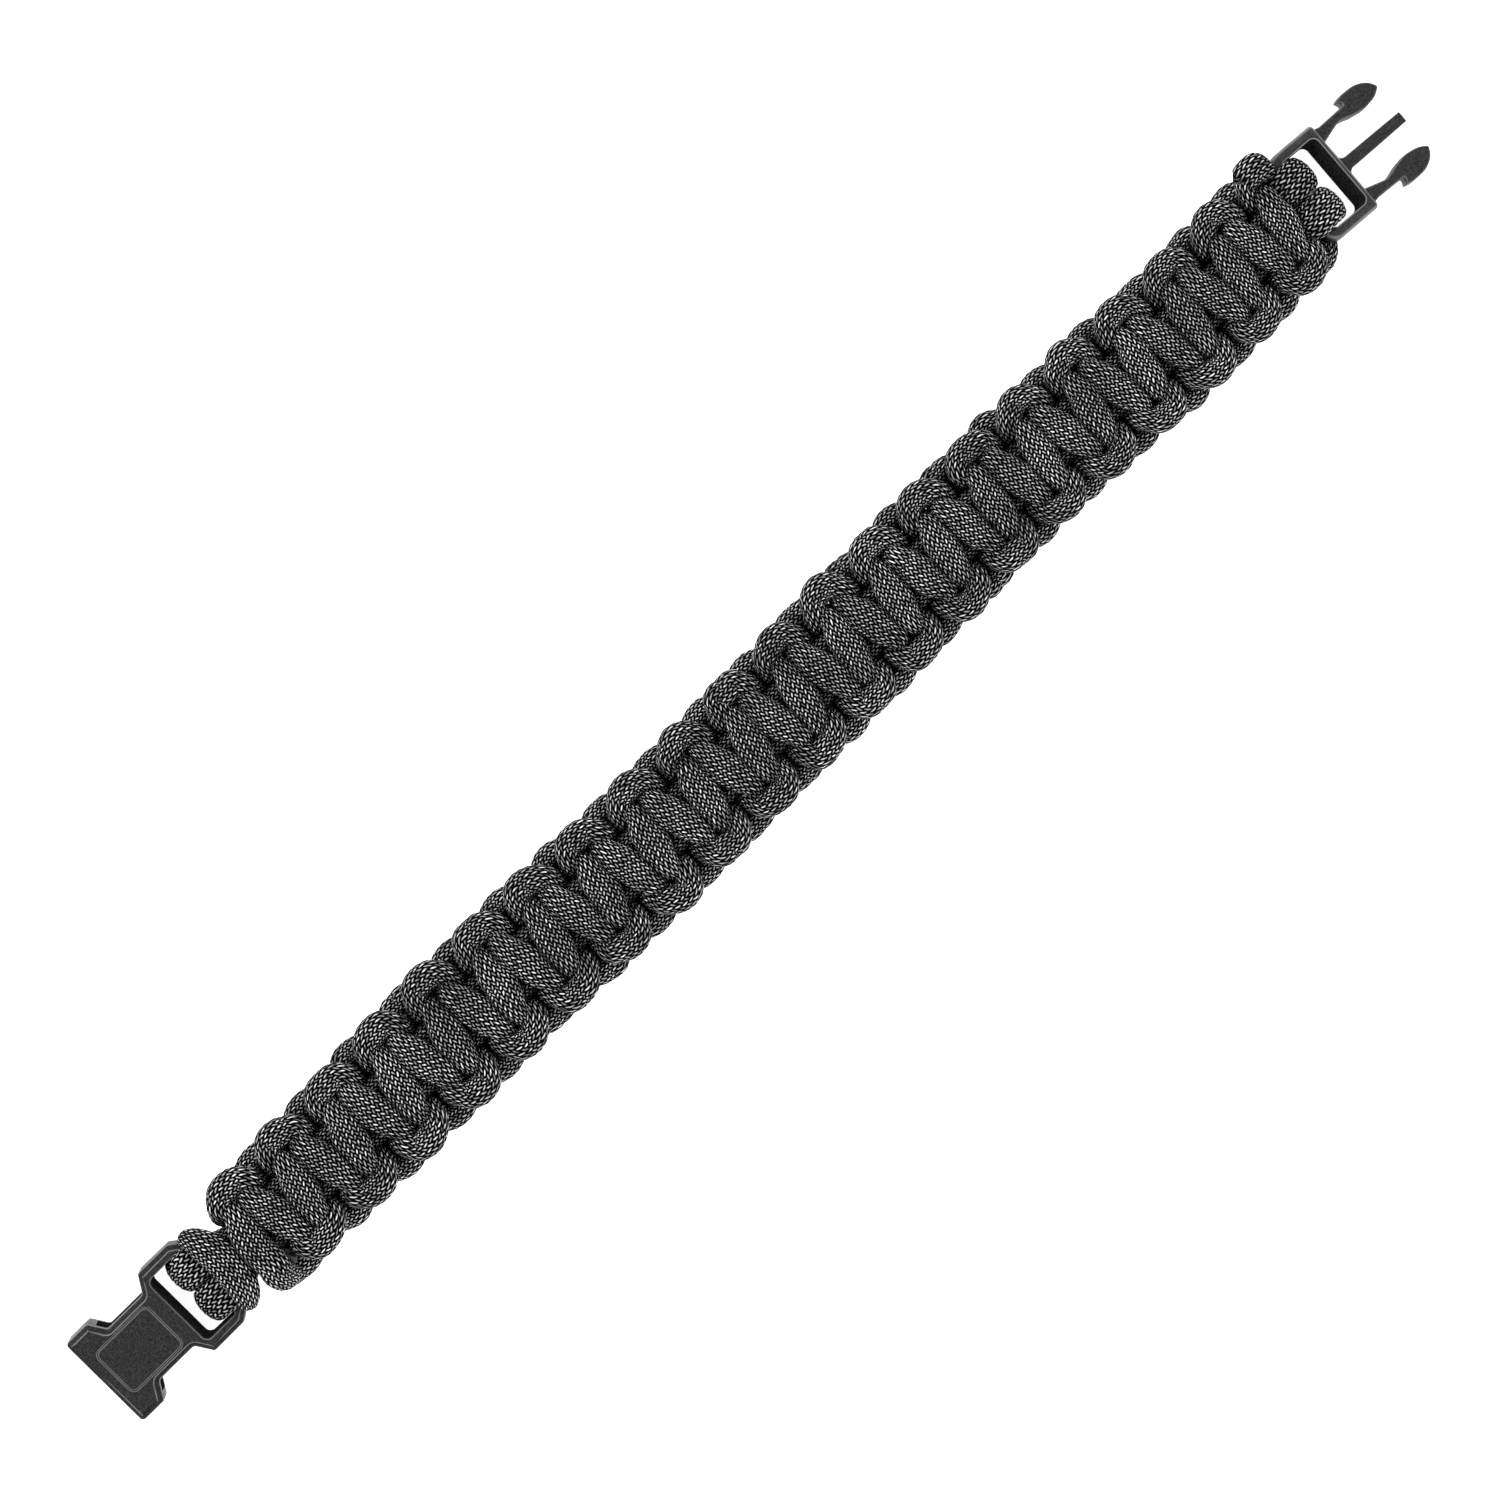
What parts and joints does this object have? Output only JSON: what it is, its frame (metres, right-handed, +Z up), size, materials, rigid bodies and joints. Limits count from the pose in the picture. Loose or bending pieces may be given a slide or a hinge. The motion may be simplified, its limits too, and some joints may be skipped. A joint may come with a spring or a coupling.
{
  "type": "paracord bracelet",
  "caption": "Open bracelet of black cord woven in a flat cobra weave over straight core strands, with a small side-release buckle.",
  "frame": {"origin": "middle of the underside of the whole bracelet, on the surface it lies on", "axes": "+X along the strap from the socket to the plug, +Y across the strap, +Z up out of the face"},
  "size_m": [0.2394, 0.0189, 0.0098],
  "materials": {
    "buckle_plastic": "black moulded acetal with a fine satin grain",
    "braided_cord": "near-black braided nylon sheath with small paler stitches"
  },
  "bodies": {
    "root": {"buckle_socket": "buckle_plastic", "buckle_plug": "buckle_plastic", "core_cord": "braided_cord", "front_strand": "braided_cord", "back_strand": "braided_cord"}
  },
  "joints": []
}
